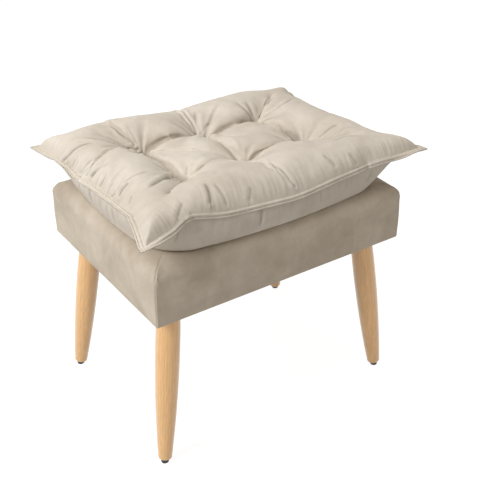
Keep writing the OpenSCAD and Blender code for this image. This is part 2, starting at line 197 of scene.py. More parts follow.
def grainGroup():
    # Wood grain along Z: growth rings round a line beside the piece, pores and a slow colour drift.
    tree, given = openGroup("woodGrain", {
        "Vector": "Vector", "Light": "Color", "Dark": "Color", "Rings": "Float", "Contrast": "Float"})
    stretched = addMapping(tree, given["Vector"], (1, 1, 0.10))
    rings = addNode(tree, "TexWave", {
        "Vector": stretched, "Scale": given["Rings"],
        "Distortion": 2.6, "Detail": 3, "Detail Scale": 1.4, "Detail Roughness": 0.6},
        wave_type="RINGS", rings_direction="Z", wave_profile="SIN")
    pores = addNoise(tree, addMapping(tree, given["Vector"], (1, 1, 0.035)), 900, 4, 0.65)
    slow = addNoise(tree, stretched, 18, 3)
    blend = addMath(tree, "MULTIPLY_ADD", addRange(tree, rings.outputs["Fac"], 0, 1, 0.25, 0.95), 0.5, slow)
    amount = addNode(tree, "Math", {0: blend, 1: given["Contrast"]}, operation="MULTIPLY", use_clamp=True)
    colour = addMix(tree, amount.outputs[0], given["Light"], given["Dark"])
    colour = addMix(tree, 1, colour, addRange(tree, pores, 0.78, 1.04, 0.30, 0.62), "MULTIPLY")
    return closeGroup(tree, colour, pores, addRange(tree, pores, 0.34, 0.46))


brushedNap = napGroup()
woodGrain = grainGroup()


# Materials

def newMaterial(name):
    material = bpy.data.materials.new(name)
    material.use_nodes = True
    tree = material.node_tree
    tree.nodes.clear()
    shader = addNode(tree, "BsdfPrincipled")
    addNode(tree, "OutputMaterial", {"Surface": shader.outputs["BSDF"]})
    return material, tree, shader, addNode(tree, "TexCoord").outputs["Object"]


def suedeMaterial(name, look):
    material, tree, shader, place = newMaterial(name)
    # the fold attribute is painted crease shade with the crushed nap: 0 on flat cloth, 1 in the deepest folds
    fold = addNode(tree, "Attribute", attribute_name="fold")
    nap = addNode(tree, "Group", {
        "Vector": place, "FoldCrushAndShade": fold.outputs["Fac"],
        "Light": (*look["light"], 1), "Shade": (*look["shade"], 1), "Drift": (*look["drift"], 1),
        "Cloud": look["cloud"], "Mark": look["mark"], "Fibre": look["fibre"]}, node_tree=brushedNap).outputs
    feed(shader, {
        "Base Color": nap["Color"], "Roughness": nap["Rough"],
        "Normal": addBump(tree, nap["Height"], 0.30, 0.0004), "Specular IOR Level": 0.2,
        "Sheen Weight": look["sheen"], "Sheen Roughness": 0.4, "Sheen Tint": (1.0, 0.97, 0.92, 1)})
    return material


pillowSuede = suedeMaterial("pillowSuede", {
    "light": (0.70, 0.645, 0.565), "shade": (0.57, 0.512, 0.432), "drift": (0.60, 0.545, 0.465),
    "cloud": 9, "mark": 30, "fibre": 1100, "sheen": 0.25})
baseSuede = suedeMaterial("baseSuede", {
    "light": (0.64, 0.565, 0.465), "shade": (0.475, 0.408, 0.322), "drift": (0.50, 0.462, 0.355),
    "cloud": 11, "mark": 34, "fibre": 1000, "sheen": 0.25})


def woodMaterial(name, look):
    material, tree, shader, place = newMaterial(name)
    turned = addNode(tree, "Mapping", {"Vector": place, "Location": look["centre"], "Rotation": look["turn"]},
                     vector_type="TEXTURE")
    grain = addNode(tree, "Group", {
        "Vector": turned.outputs["Vector"], "Light": (*look["light"], 1), "Dark": (*look["dark"], 1),
        "Rings": look["rings"], "Contrast": look["contrast"]}, node_tree=woodGrain).outputs
    feed(shader, {
        "Base Color": grain["Color"], "Roughness": grain["Rough"],
        "Normal": addBump(tree, grain["Height"], look["bump"], 0.0003),
        "Coat Weight": look["coat"], "Coat Roughness": 0.22})
    return material


def plainMaterial(name, look):
    # A mottled finish: fine specks, which may be drawn out in one direction, on slow clouds.
    material, tree, shader, place = newMaterial(name)
    speck = addNoise(tree, addMapping(tree, place, look.get("stretch", (1, 1, 1))), look["scale"], 4, 0.65)
    cloud = addNoise(tree, place, look["scale"] * 0.06, 2)
    both = addMath(tree, "MULTIPLY_ADD", cloud, 0.5, speck)
    feed(shader, {
        "Base Color": addMix(tree, addRange(tree, both, 0, 1, 0.5, 1),
                             (*look["dark"], 1), (*look["light"], 1)),
        "Roughness": addRange(tree, both, *look["rough"]),
        "Metallic": look.get("metal", 0), "Sheen Weight": look.get("sheen", 0),
        "Normal": addBump(tree, speck, look["bump"], look.get("depth", 0.0004))})
    return material


glidePlastic = plainMaterial("glidePlastic", {
    "dark": (0.010, 0.010, 0.011), "light": (0.028, 0.028, 0.030), "rough": (0.36, 0.55),
    "scale": 700, "bump": 0.15})
zincSteel = plainMaterial("zincSteel", {
    "dark": (0.46, 0.46, 0.47), "light": (0.68, 0.68, 0.67), "rough": (0.28, 0.46), "metal": 1,
    "scale": 420, "stretch": (0.08, 1, 1), "bump": 0.08})
foam = plainMaterial("foam", {
    "dark": (0.72, 0.66, 0.44), "light": (0.84, 0.79, 0.58), "rough": (0.9, 1.0),
    "scale": 600, "bump": 0.8, "depth": 0.0008})
plywood = plainMaterial("plywood", {
    "dark": (0.42, 0.27, 0.14), "light": (0.66, 0.48, 0.29), "rough": (0.6, 0.8),
    "scale": 240, "stretch": (0.05, 1, 1), "bump": 0.3})
fibreFill = plainMaterial("fibreFill", {
    "dark": (0.78, 0.78, 0.77), "light": (0.92, 0.92, 0.91), "rough": (0.9, 1.0),
    "scale": 260, "bump": 1.0, "depth": 0.002, "sheen": 0.3})
tuftTwine = plainMaterial("tuftTwine", {
    "dark": (0.40, 0.35, 0.27), "light": (0.62, 0.56, 0.45), "rough": (0.7, 0.9), "scale": 900, "bump": 0.5})
sewingThread = plainMaterial("sewingThread", {
    "dark": (0.36, 0.31, 0.24), "light": (0.52, 0.46, 0.37), "rough": (0.5, 0.7),
    "scale": 1600, "bump": 0.4, "sheen": 0.2})
blackNonwoven = plainMaterial("blackNonwoven", {
    "dark": (0.010, 0.010, 0.011), "light": (0.040, 0.040, 0.042), "rough": (0.7, 0.9),
    "scale": 500, "bump": 0.6, "depth": 0.0006})

legs = {
    "halfX": 0.202, "halfY": 0.138, "footX": 0.238905, "footY": 0.165162, "underside": 0.296,
    "light": (0.93, 0.565, 0.245), "dark": (0.68, 0.365, 0.125), "heart": 0.055,
}


def legWood(name, sx, sy):
    # The rings' centre lies beside each leg, as in a turned blank cut from a plank.
    foot = Vector((sx * legs["footX"], sy * legs["footY"], 0))
    axis = Vector((sx * legs["halfX"], sy * legs["halfY"], legs["underside"])) - foot
    turn = 1.1 + sx * 0.7 + sy * 1.3
    return woodMaterial(name, {
        "centre": foot + Vector((math.cos(turn), math.sin(turn), 0)) * legs["heart"],
        "turn": axis.to_track_quat("Z", "Y").to_euler(), "light": legs["light"], "dark": legs["dark"],
        "rings": 70, "contrast": 0.42, "bump": 0.06, "coat": 0.8})


pineBoard = woodMaterial("framePine", {
    "centre": (0.03, 0.04, 0), "turn": (0, math.radians(90), 0),
    "light": (0.78, 0.60, 0.36), "dark": (0.60, 0.38, 0.18),
    "rings": 60, "contrast": 0.7, "bump": 0.3, "coat": 0})


def paint(material, *nodes):
    for node in nodes:
        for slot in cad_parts[node].material_slots:
            slot.material = material


for across, sx in (("left", -1), ("right", 1)):
    for along, sy in (("front", -1), ("back", 1)):
        corner = f"{along}_{across}"
        paint(legWood(f"legWood_{corner}", sx, sy), f"leg_{corner}")
        paint(glidePlastic, f"glide_{corner}")
        paint(zincSteel, f"leg_plate_{corner}", f"hanger_bolt_{corner}")
        paint(pineBoard, f"corner_block_{corner}")
    paint(pineBoard, f"leg_board_{across}")
for side in ("left", "right", "front", "back"):
    paint(pineBoard, f"rail_{side}")
    paint(foam, f"side_pad_{side}")
paint(zincSteel, "glide_nails", "plate_screws", "rail_nails", "deck_nails", "dust_cloth_staples")
paint(foam, "deck_foam")
paint(plywood, "deck_panel")
print("materials made")


# Padded box

box = {
    "halfX": 0.250, "halfY": 0.184, "bottom": 0.296, "top": 0.401, "roll": 0.0245,
    "cornerLow": 0.0030, "cornerHigh": 0.0055, "margin": 0.026, "cloth": 0.0012,
    "wallRows": 12, "rollRows": 10, "cellsLong": 70, "cellsShort": 52,
    "bulge": 0.0016, "unevenness": 0.0007, "groove": 0.0010, "pucker": 0.0007,
}


def boxRing(inset, cornerRadius):
    # Points of a rounded rectangle, against the clock from the front left corner.
    hx, hy = box["halfX"] - inset, box["halfY"] - inset
    r = max(0.0005, cornerRadius)
    points = []

    def spot(quarter, degrees):
        sx, sy = quarters[quarter % 4]
        turn = math.radians(degrees)
        return Vector((sx * (hx - r), sy * (hy - r))) + r * Vector((math.cos(turn), math.sin(turn)))

    for n in range(4):
        points += [spot(n, 180 + 90 * n + 90 * step / 8) for step in range(9)]
        count = box["cellsShort"] if n % 2 else box["cellsLong"]
        for step in range(1, count):
            t = step / count
            t = mix(t, t * t * (3 - 2 * t), 0.35)  # closer together near the corners
            points.append(mix(spot(n, 270 + 90 * n), spot(n + 1, 270 + 90 * n), t))
    return points


def boxProfile():
    # Rows from the turned-in margin, up the wall and over the roll: inset and height.
    b = box
    rows = [(inset, b["bottom"] + rise) for inset, rise in (
        (b["margin"], 0.0001), (0.018, 0.0001), (0.010, 0.0001), (0.005, 0.0002), (0.0022, 0.0007),
        (0.0007, 0.0020), (0.0001, 0.0042))]
    shoulder = b["top"] - b["roll"]
    rows += [(0, mix(b["bottom"] + 0.008, shoulder, step / b["wallRows"]))
             for step in range(b["wallRows"] + 1)]
    for step in range(1, b["rollRows"] + 1):
        angle = math.pi / 2 * step / b["rollRows"]
        rows.append((b["roll"] * (1 - math.cos(angle)), shoulder + b["roll"] * math.sin(angle)))
    return rows + [(inset, b["top"]) for inset in (0.034, 0.048, 0.075, 0.120)]


def boxCorner(z):
    t = (z - box["bottom"]) / (box["top"] - box["bottom"])
    return mix(box["cornerLow"], box["cornerHigh"], smoothStep(t * 1.3 - 0.3))


def boxRelief(x, y, z):
    # How far the cloth stands off its even form, outwards.
    b = box
    t = (z - b["bottom"]) / (b["top"] - b["bottom"])
    fromX, fromY = b["halfX"] - abs(x), b["halfY"] - abs(y)
    fromCorner = math.hypot(max(0, fromX), max(0, fromY))
    swell = b["bulge"] * math.sin(math.pi * max(0, min(1, t))) ** 0.7 * smoothStep(fromCorner / 0.05)
    soft = b["unevenness"] * (uneven(x * 14, y * 14, z * 20) + 0.4 * uneven(x * 40, y * 40, z * 34 + 5))
    # small puckers beside each corner, under the roll
    near = math.exp(-(fromCorner / 0.022) ** 2) * smoothStep((t - 0.35) * 2.2)
    angle = math.atan2(z - 0.385, fromCorner - 0.004)
    pucker = b["pucker"] * near * math.sin(angle * 9 + 3 * uneven(x * 30, y * 30, z * 30))
    # the corner seam is a fine groove that runs on over the roll as a dart
    groove = b["groove"] * math.exp(-((fromX - fromY) / 0.0012) ** 2) * smoothStep((0.05 - fromCorner) / 0.01)
    return (swell + soft) * smoothStep(t * 8) + pucker - groove


def makeBaseCover():
    b = box
    cover = bmesh.new()
    (inset, z), *rows = boxProfile()
    ring = [cover.verts.new((place.x, place.y, z)) for place in boxRing(inset, 0.002)]
    for pair in zip(ring, ring[1:] + ring[:1]):
        cover.edges.new(pair)
    for inset, z in rows:
        ring = growRing(cover, ring)
        places = boxRing(inset, boxCorner(z) - inset * (1 if z < b["bottom"] + 0.02 else 0.2))
        for vert, place in zip(ring, places):
            vert.co = (place.x, place.y, z)
    lid = cover.faces.new(ring)
    bmesh.ops.recalc_face_normals(cover, faces=cover.faces[:])
    cover.normal_update()
    if lid.normal.z < 0:
        bmesh.ops.reverse_faces(cover, faces=cover.faces[:])
        cover.normal_update()
    places = []
    for vert in cover.verts:
        still = vert.co.z <= b["bottom"] + 0.001 or vert.link_faces[0] is lid
        places.append(vert.co + vert.normal * (0 if still else boxRelief(*vert.co)))
    moveVerts(cover, places)
    # the flat middle of the top, under the pillow
    bmesh.ops.delete(cover, geom=[lid], context="FACES_ONLY")
    rim = [edge for edge in openEdges(cover) if edge.verts[0].co.z > b["top"] - 0.01]
    bmesh.ops.holes_fill(cover, edges=rim, sides=0)
    piece = addPiece("box_cover", meshOf("box_cover", cover), baseSuede, ("base_cover",))
    addCloth(piece, b["cloth"])


makeBaseCover()
print("box cover made")


dust = {"halfX": 0.237, "halfY": 0.171, "z": 0.2955, "hem": 0.010, "sag": 0.003, "ripple": 0.0012,
        "flat": 0.150, "fade": 0.12, "fold": 0.00048}


def makeDustCloth():
    d = dust
    cloth = bmesh.new()
    bmesh.ops.create_grid(cloth, x_segments=60, y_segments=44, size=1)
    for vert in cloth.verts:
        x, y = vert.co.x * d["halfX"], vert.co.y * d["halfY"]
        inside = smoothStep((d["flat"] - abs(x)) / d["fade"]) * smoothStep((d["flat"] - abs(y)) / d["fade"])
        vert.co = (x, y, d["z"] - (d["sag"] - d["ripple"] * uneven(x * 45, y * 45, 2)) * inside)
    for vert in onlyVerts(bmesh.ops.extrude_edge_only(cloth, edges=openEdges(cloth))["geom"]):
        vert.co.z -= d["fold"]
    # the hem is turned in under the cloth
    for vert in onlyVerts(bmesh.ops.extrude_edge_only(cloth, edges=openEdges(cloth))["geom"]):
        x, y = vert.co.x, vert.co.y
        vert.co.x = math.copysign(min(abs(x), d["halfX"] - d["hem"]), x)
        vert.co.y = math.copysign(min(abs(y), d["halfY"] - d["hem"]), y)
    bmesh.ops.remove_doubles(cloth, verts=cloth.verts[:], dist=1e-6)
    bmesh.ops.recalc_face_normals(cloth, faces=cloth.faces[:])
    piece = addPiece("dust_sheet", meshOf("dust_sheet", cloth), blackNonwoven,
                     ("dust_cloth",))


makeDustCloth()
print("dust cloth made")


# Pillow

pillow = {
    "cellsX": 128, "cellsY": 92,        # cells of each panel
    "tuftLineX": 30, "tuftLineY": 14,   # grid lines of the tufts, counted from the middle
    "tufts": {(-1, -1): (-0.118, -0.056), (0, -1): (0.000, -0.058), (1, -1): (0.123, -0.061),
              (-1, 1): (-0.122, 0.074), (0, 1): (-0.008, 0.060), (1, 1): (0.112, 0.063)},
    "tuftX": 0.120, "tuftY": 0.063, "tuftZ": 0.457,
    "seamX": 0.268, "seamY": 0.189, "seamZ": 0.457, "drawInX": 0.020, "drawInY": 0.004, "seamSag": 0.002,
    "tips": {(-1, -1): (-0.266, -0.191, 0.454), (1, -1): (0.278, -0.187, 0.466),
             (1, 1): (0.274, 0.184, 0.444), (-1, 1): (-0.263, 0.192, 0.464)},
    "cutX": 0.281, "cutY": 0.2165, "cutCornerX": 0.2815, "cutCornerY": 0.2085,
    "cornerFull": 0.008, "fullU": 0.80, "fullV": 0.74, "fullSpread": 0.03,
    "apart": 0.004, "unevenness": 0.003, "seed": 8.1,
    "restX": 0.226, "restY": 0.168, "restZ": 0.401, "restShareX": 0.750, "restShareY": 0.697,
    "pressure": 300, "frames": 34, "drawFrames": 14,
    "cloth": {"quality": 5, "mass": 0.05, "tension_stiffness": 15, "compression_stiffness": 15,
              "shear_stiffness": 5, "bending_stiffness": 0.04, "tension_damping": 5,
              "compression_damping": 5, "shear_damping": 3, "bending_damping": 0.5},
    "nudges": (((-0.182, -0.192, 0.455), 0.040, (0, 0.006, 0.009)),   # centre, radius and push
               ((0.020, -0.195, 0.455), 0.050, (0, 0.000, -0.003)),
               ((-0.064, 0.034, 0.492), 0.038, (0, -0.003, -0.009)),
               ((0.056, 0.034, 0.492), 0.038, (0, -0.003, -0.009))),
    "lowClear": 0.0012, "tipCells": (26, 20), "tipDepth": 14, "drawSteps": 160,
    "cornerRise": 0.046, "cornerSteep": 0.017, "cornerCells": 32, "thickness": 0.0007,
}


def seamPlace(u, v):
    p = pillow
    seamX = p["seamX"] - p["drawInX"] * (1 - abs(v) ** 5)
    seamY = p["seamY"] - p["drawInY"] * (1 - abs(u) ** 5)
    kneeU = p["tuftLineX"] * 2 / p["cellsX"]
    kneeV = p["tuftLineY"] * 2 / p["cellsY"]

    def along(t, knee, inner, outer):
        a = abs(t)
        reach = inner * a / knee if a < knee else mix(inner, outer, (a - knee) / (1 - knee))
        return math.copysign(reach, t)

    x, y = along(u, kneeU, p["tuftX"], seamX), along(v, kneeV, p["tuftY"], seamY)
    z = p["seamZ"] - p["seamSag"] * (1 - abs(u * v) ** 3)
    share = abs(u * v) ** 4
    if share:
        tip = p["tips"][math.copysign(1, u), math.copysign(1, v)]
        x += (tip[0] - math.copysign(p["seamX"], u)) * share
        y += (tip[1] - math.copysign(p["seamY"], v)) * share
        z += (tip[2] - p["seamZ"]) * share
    return x, y, z


def restShare(u, v):
    # 0 at the seam and 1 where the underside lies on the box, which is round at its corners
    shareX, shareY = pillow["restShareX"], pillow["restShareY"]
    if (abs(u / shareX) ** 8 + abs(v / shareY) ** 8) ** 0.125 <= 1:
        return 1
    return min((1 - abs(u)) / (1 - shareX), (1 - abs(v)) / (1 - shareY), 0.99)


def cutPlace(u, v, low):
    # The two panels lie flat on each other, a little apart and slightly uneven.
    p = pillow
    x = u * (p["cutX"] - (p["cutX"] - p["cutCornerX"]) * abs(v) ** 3 * u * u)
    y = v * (p["cutY"] - (p["cutY"] - p["cutCornerY"]) * abs(u) ** 3 * v * v)
    inside = (1 - abs(u) ** 6) * (1 - abs(v) ** 6)
    broad = uneven(x * 35, y * 35, p["seed"] + (9 if low else 0))
    fine = uneven(x * 90, y * 90, p["seed"] + (9 if low else 3))
    lift = inside * (p["apart"] + p["unevenness"] * (broad + 0.5 * fine))
    # the corners are eased in fuller, so that they round up instead of creasing
    fromFull = (abs(u) - p["fullU"]) ** 2 + (abs(v) - p["fullV"]) ** 2
    lift += p["cornerFull"] * (0.4 if low else 1) * math.exp(-fromFull / p["fullSpread"])
    return x, y, p["seamZ"] + (-lift if low else lift)


def drawnPlace(u, v, low):
    # Where the held points go: the tufts are drawn down and the underside lies on the box.
    p = pillow
    x, y, z = seamPlace(u, v)
    if low:
        down = restShare(u, v)
        if down >= 1:
            return u / p["restShareX"] * p["restX"], v / p["restShareY"] * p["restY"], p["restZ"]
        return x, y, mix(z, p["restZ"], down)
    if abs(u) == 1 or abs(v) == 1:
        return x, y, z
    i, j = u * p["cellsX"] / 2, v * p["cellsY"] / 2
    column, row = round(i / p["tuftLineX"]), 1 if j > 0 else -1
    if (column, row) in p["tufts"]:
        step = 2 * p["cutX"] / p["cellsX"]
        x, y = p["tufts"][column, row]
        x, y = x + (i - column * p["tuftLineX"]) * step, y + (j - row * p["tuftLineY"]) * step
    return x, y, p["tuftZ"]


def cutPillow():
    # Two grids that share their edge; returns the net and each point's place on the cut.
    p = pillow
    net = bmesh.new()
    bmesh.ops.create_grid(net, x_segments=p["cellsX"], y_segments=p["cellsY"], size=1)
    side = net.faces.layers.int.new("side")
    twin = bmesh.ops.duplicate(net, geom=net.verts[:] + net.edges[:] + net.faces[:])["geom"]
    lowFaces = [part for part in twin if isinstance(part, bmesh.types.BMFace)]
    bmesh.ops.reverse_faces(net, faces=lowFaces)
    for face in lowFaces:
        face[side] = 1
    for vert in onlyVerts(twin):
        if abs(vert.co.x) < 0.9999 and abs(vert.co.y) < 0.9999:
            vert.co.z = -0.1
    bmesh.ops.remove_doubles(net, verts=net.verts[:], dist=1e-5)
    net.verts.index_update()
    spots = []
    for vert in net.verts:
        u = round(vert.co.x * p["cellsX"] / 2) * 2 / p["cellsX"]
        v = round(vert.co.y * p["cellsY"] / 2) * 2 / p["cellsY"]
        spots.append((u, v, vert.co.z < -0.05))
    return net, spots


def isHeld(u, v, low):
    # The seam's tips, the tufts and the underside on the box are held while the cloth moves.
    p = pillow
    if low:
        return restShare(u, v) >= 1
    i, j = abs(u) * p["cellsX"] / 2, abs(v) * p["cellsY"] / 2
    if p["cellsX"] / 2 - i < 2.5 and p["cellsY"] / 2 - j < 2.5:
        return abs(u) == 1 or abs(v) == 1
    return (i < 1.5 or abs(i - p["tuftLineX"]) < 1.5) and abs(j - p["tuftLineY"]) < 1.5


def settlePillow(net, spots):
    # Cloth: the tufts are drawn down while the pressure of the filling swells the panels.
    p = pillow
    mesh = meshOf("pillowNet", net)
    mesh.vertices.foreach_set("co", np.array([cutPlace(*spot) for spot in spots], dtype=np.float32).ravel())
    cloth = bpy.data.objects.new("pillowNet", mesh)
    scene.collection.objects.link(cloth)
    cloth.shape_key_add(name="cut")
    pull = cloth.shape_key_add(name="drawn")
    pull.data.foreach_set("co", np.array([drawnPlace(*spot) for spot in spots], dtype=np.float32).ravel())
    for value, step in ((0, 1), (1, p["drawFrames"])):
        pull.value = value
        pull.keyframe_insert("value", frame=step)
    held = cloth.vertex_groups.new(name="held")
    held.add([index for index, spot in enumerate(spots) if isHeld(*spot)], 1, "REPLACE")
    modifier = cloth.modifiers.new("cloth", "CLOTH")
    settings = modifier.settings
    for name, value in p["cloth"].items():
        setattr(settings, name, value)
    settings.use_pressure = True
    settings.uniform_pressure_force = p["pressure"]
    settings.vertex_group_mass = "held"
    settings.pin_stiffness = 1
    settings.effector_weights.gravity = 0
    modifier.collision_settings.use_collision = False
    modifier.collision_settings.use_self_collision = False
    modifier.point_cache.frame_start = 1
    modifier.point_cache.frame_end = p["frames"] + 1
    for step in range(1, p["frames"] + 1):
        scene.frame_set(step)
    settled = cloth.evaluated_get(bpy.context.evaluated_depsgraph_get())
    shape = np.empty(len(mesh.vertices) * 3)
    settled.data.vertices.foreach_get("co", shape)
    scene.frame_set(1)
    action = mesh.shape_keys.animation_data.action
    bpy.data.objects.remove(cloth)
    bpy.data.actions.remove(action)
    return shape.reshape(-1, 3)


def pillowCells(spots):
    # Half the cells each way, and a way to find a point by its cell; both panels share the seam's.
    halfX, halfY = pillow["cellsX"] // 2, pillow["cellsY"] // 2
    index = {(round(u * halfX), round(v * halfY), low): k for k, (u, v, low) in enumerate(spots)}
    return halfX, halfY, lambda i, j, low: index.get((i, j, low), index.get((i, j, False)))


def straightenTips(spots, shape):
    # The seam runs straight for a few cells into each tip, and the cloth beside it follows.
    halfX, halfY, find = pillowCells(spots)
    depth = pillow["tipDepth"]
    moves = {}
    for sx, sy in quarters:
        tip = shape[find(sx * halfX, sy * halfY, False)]
        for across, cells in enumerate(pillow["tipCells"]):

            def spotAt(along, inward, low=False):
                i, j = (inward, along) if across else (along, inward)
                return find(sx * (halfX - i), sy * (halfY - j), low)

            end = shape[spotAt(cells, 0)]
            for k in range(1, cells):
                share = 1 - smoothStep((k / cells - 0.5) * 2)
                move = (tip + (end - tip) * k / cells - shape[spotAt(k, 0)]) * share
                for d in range(depth):
                    for low in (False, True):
                        moves.setdefault(spotAt(k, d, low), []).append(move * (1 - d / depth) ** 2)
    for spot, parts in moves.items():
        shape[spot] += max(parts, key=lambda part: float(np.linalg.norm(part)))


def shapeCorners(spots, shape):
    # Draws the cloth smooth towards each tip, where two facets of the upper panel meet in a firm ridge.
    p = pillow
    halfX, halfY, find = pillowCells(spots)
    i, j = np.meshgrid(np.arange(-halfX, halfX + 1), np.arange(-halfY, halfY + 1), indexing="ij")
    away = np.hypot(halfX - np.abs(i), halfY - np.abs(j)) / p["cornerCells"]
    share = np.clip(1 - away, 0, 1)
    share = share * share * (3 - 2 * share)
    inner = (np.abs(i) < halfX) & (np.abs(j) < halfY) & (share > 0)
    for low in (False, True):
        which = np.array([[find(a, b, low) for b in range(-halfY, halfY + 1)]
                          for a in range(-halfX, halfX + 1)])
        grid = shape[which]
        for _ in range(p["drawSteps"]):
            mean = (grid[:-2, 1:-1] + grid[2:, 1:-1] + grid[1:-1, :-2] + grid[1:-1, 2:]) / 4
            grid[1:-1, 1:-1] += share[1:-1, 1:-1, None] * (mean - grid[1:-1, 1:-1])
        for sx, sy in (() if low else quarters):
            part = (i * sx > 0) & (j * sy > 0) & inner
            places = grid[part]
            rises, levels, gaps = [], [], []
            for seam in (grid[0 if sx < 0 else -1], grid[:, 0 if sy < 0 else -1]):
                gap = np.linalg.norm(places[:, None, :2] - seam[None, :, :2], axis=2)
                levels.append(seam[gap.argmin(axis=1), 2])
                gaps.append(gap.min(axis=1) + 1e-5)
                rises.append(p["cornerRise"] * (1 - np.exp(-gaps[-1] / p["cornerSteep"])))
            rise = (rises[0] ** -4 + rises[1] ** -4) ** -0.25
            level = (levels[0] * gaps[1] + levels[1] * gaps[0]) / (gaps[0] + gaps[1])
            places[:, 2] = mix(places[:, 2], level + rise, share[part])
            grid[part] = places
        shape[which] = grid


def pressChannels(net, spots, shape):
    # Deepens the valleys between neighbouring tufts in the upper panel.
    moveVerts(net, shape)
    net.normal_update()
    upper = np.array([not low and abs(u) < 1 and abs(v) < 1 for u, v, low in spots])
    normals = np.array([tuple(vert.normal) for vert in net.verts])
    move = np.zeros(upper.sum())
    t = pillow["tufts"]
    valleys = [(t[column, row], t[column + 1, row], gather["backRow"] if row > 0 else 1)
               for row in (-1, 1) for column in (-1, 0)]
    valleys += [(t[column, -1], t[column, 1], 1) for column in (-1, 0, 1)]
    for a, b, share in valleys:
        move += foldDepth(shape[upper], normals[upper], curvedWay(np.array((a, b))),
                          gather["channel"] * share, gather["channelWidth"] * share, -1, 0.6, 0.6)
    shape[upper] += normals[upper] * move[:, None]


def boxTop(x, y):
    # Height of the padded box's top, with its rolled edge.
    r = box["roll"]
    over = min(math.hypot(max(0, abs(x) - (box["halfX"] - r)), max(0, abs(y) - (box["halfY"] - r))), r)
    return box["top"] - r + math.sqrt(r * r - over * over)


def onePanel(net, shape, which, levels):
    # The upper or the lower panel, subdivided with the corners of its seam kept.
    panel = net.copy()
    moveVerts(panel, shape)
    side = panel.faces.layers.int["side"]
    bmesh.ops.delete(panel, geom=[face for face in panel.faces if face[side] != which], context="FACES")
    mesh = meshOf("panel", panel)
    holder = bpy.data.objects.new("panel", mesh)
    scene.collection.objects.link(holder)
    smooth = holder.modifiers.new("smooth", "SUBSURF")
    smooth.levels = smooth.render_levels = levels
    smooth.boundary_smooth = "PRESERVE_CORNERS"
    finer = bpy.data.meshes.new_from_object(holder.evaluated_get(bpy.context.evaluated_depsgraph_get()))
    bpy.data.objects.remove(holder)
    bpy.data.meshes.remove(mesh)
    result = bmesh.new()
    result.from_mesh(finer)
    bpy.data.meshes.remove(finer)
    return result


def seamRing(panel):
    # The panel's edge points in order, seen from above against the clock.
    beside = {}
    for edge in openEdges(panel):
        a, b = edge.verts
        beside.setdefault(a, []).append(b)
        beside.setdefault(b, []).append(a)
    first = min(beside, key=lambda vert: vert.co.x + vert.co.y)
    ring, last = [first], None
    while True:
        ahead = [vert for vert in beside[ring[-1]] if vert is not last]
        last = ring[-1]
        if ahead[0] is first or (len(ring) > 1 and first in ahead):
            break
        ring.append(ahead[0])
    area = sum(ring[k - 1].co.x * ring[k].co.y - ring[k].co.x * ring[k - 1].co.y for k in range(len(ring)))
    return ring if area > 0 else [ring[0]] + ring[:0:-1]


flange = {
    "stitchIn": 0.0064, "stitchStep": 0.0046, "stitchRise": 0.00045,
    "stitch": (0.00034, 0.00030, 0.00165), "droop": 1.15, "droopSide": 0.3, "mitre": 1.55, "easing": 0.05,
    # how far out each row lies and how far it stands off the middle, pinched at the stitches
    "rows": ((0.0006, 0.0002), (0.0014, 0.0008), (0.0022, 0.0015), (0.0034, 0.0016), (0.0048, 0.0012),
             (0.0057, 0.0005), (0.0064, 0.0003), (0.0069, 0.0005), (0.0077, 0.0012), (0.0088, 0.0013),
             (0.0095, 0.0004)),
}


def outward(points):
    # For each ring point, the way out in plan; the four corners are mitred.
    count = len(points)
    corners = [max(range(count), key=lambda k: sx * points[k].x + sy * points[k].y) for sx, sy in quarters]
    ways = [None] * count
    for n in range(4):
        begin, span = corners[n], (corners[(n + 1) % 4] - corners[n]) % count
        clear = round(span * flange["easing"])
        for step in range(span + 1):
            middle = min(max(step, clear), span - clear)
            tangent = points[(begin + middle + clear) % count] - points[(begin + middle - clear) % count]
            way = Vector((tangent.y, -tangent.x, 0)).normalized()
            k = (begin + step) % count
            if step in (0, span) and ways[k] is not None:
                way = (ways[k] + way) / (1 + ways[k].dot(way))
            ways[k] = way * min(1, flange["mitre"] / way.length)
    return ways


def flangeSpot(place, way, out, rise):
    # A spot on the flange, which hangs down in front and lies nearly level at the left and at the tips.
    wave = 0.22 * uneven(place.x * 16, place.y * 16, 4.2) + 0.10 * uneven(place.x * 55, place.y * 55, 7.7)
    tip = max(0, 1 - math.hypot(pillow["seamX"] - abs(place.x), pillow["seamY"] - abs(place.y)) / 0.05)
    droop = flange["droop"] * max(0, -way.y) ** 2 + flange["droopSide"] * max(0, way.x, way.y) ** 2
    angle = droop * (1 - smoothStep(tip)) - wave
    level = way * (out * math.cos(angle)) + way.normalized() * (rise * math.sin(angle))
    return place + level + Vector((0, 0, rise * math.cos(angle) - out * math.sin(angle)))


def addFlange(panel, up):
    # One of the two layers of cloth that are sewn together outside the seam.
    ring = seamRing(panel)
    points = [vert.co.copy() for vert in ring]
    ways = outward(points)
    for out, thick in flange["rows"]:
        ring = growRing(panel, ring)
        for vert, place, way in zip(ring, points, ways):
            puff = thick * (1 + 0.25 * uneven(place.x * 120, place.y * 120, 1))
            vert.co = flangeSpot(place, way, out, up * puff)
    bmesh.ops.recalc_face_normals(panel, faces=panel.faces[:])
    sample = max(panel.faces, key=lambda face: face.calc_area() * (1 if abs(face.normal.z) > 0.8 else 0))
    if sample.normal.z * up < 0:
        bmesh.ops.reverse_faces(panel, faces=panel.faces[:])
    return points, ways


def finishPanel(panel, name, replaced):
    piece = addPiece(name, meshOf(name, panel), pillowSuede, replaced)
    addCloth(piece, pillow["thickness"]).use_rim = False


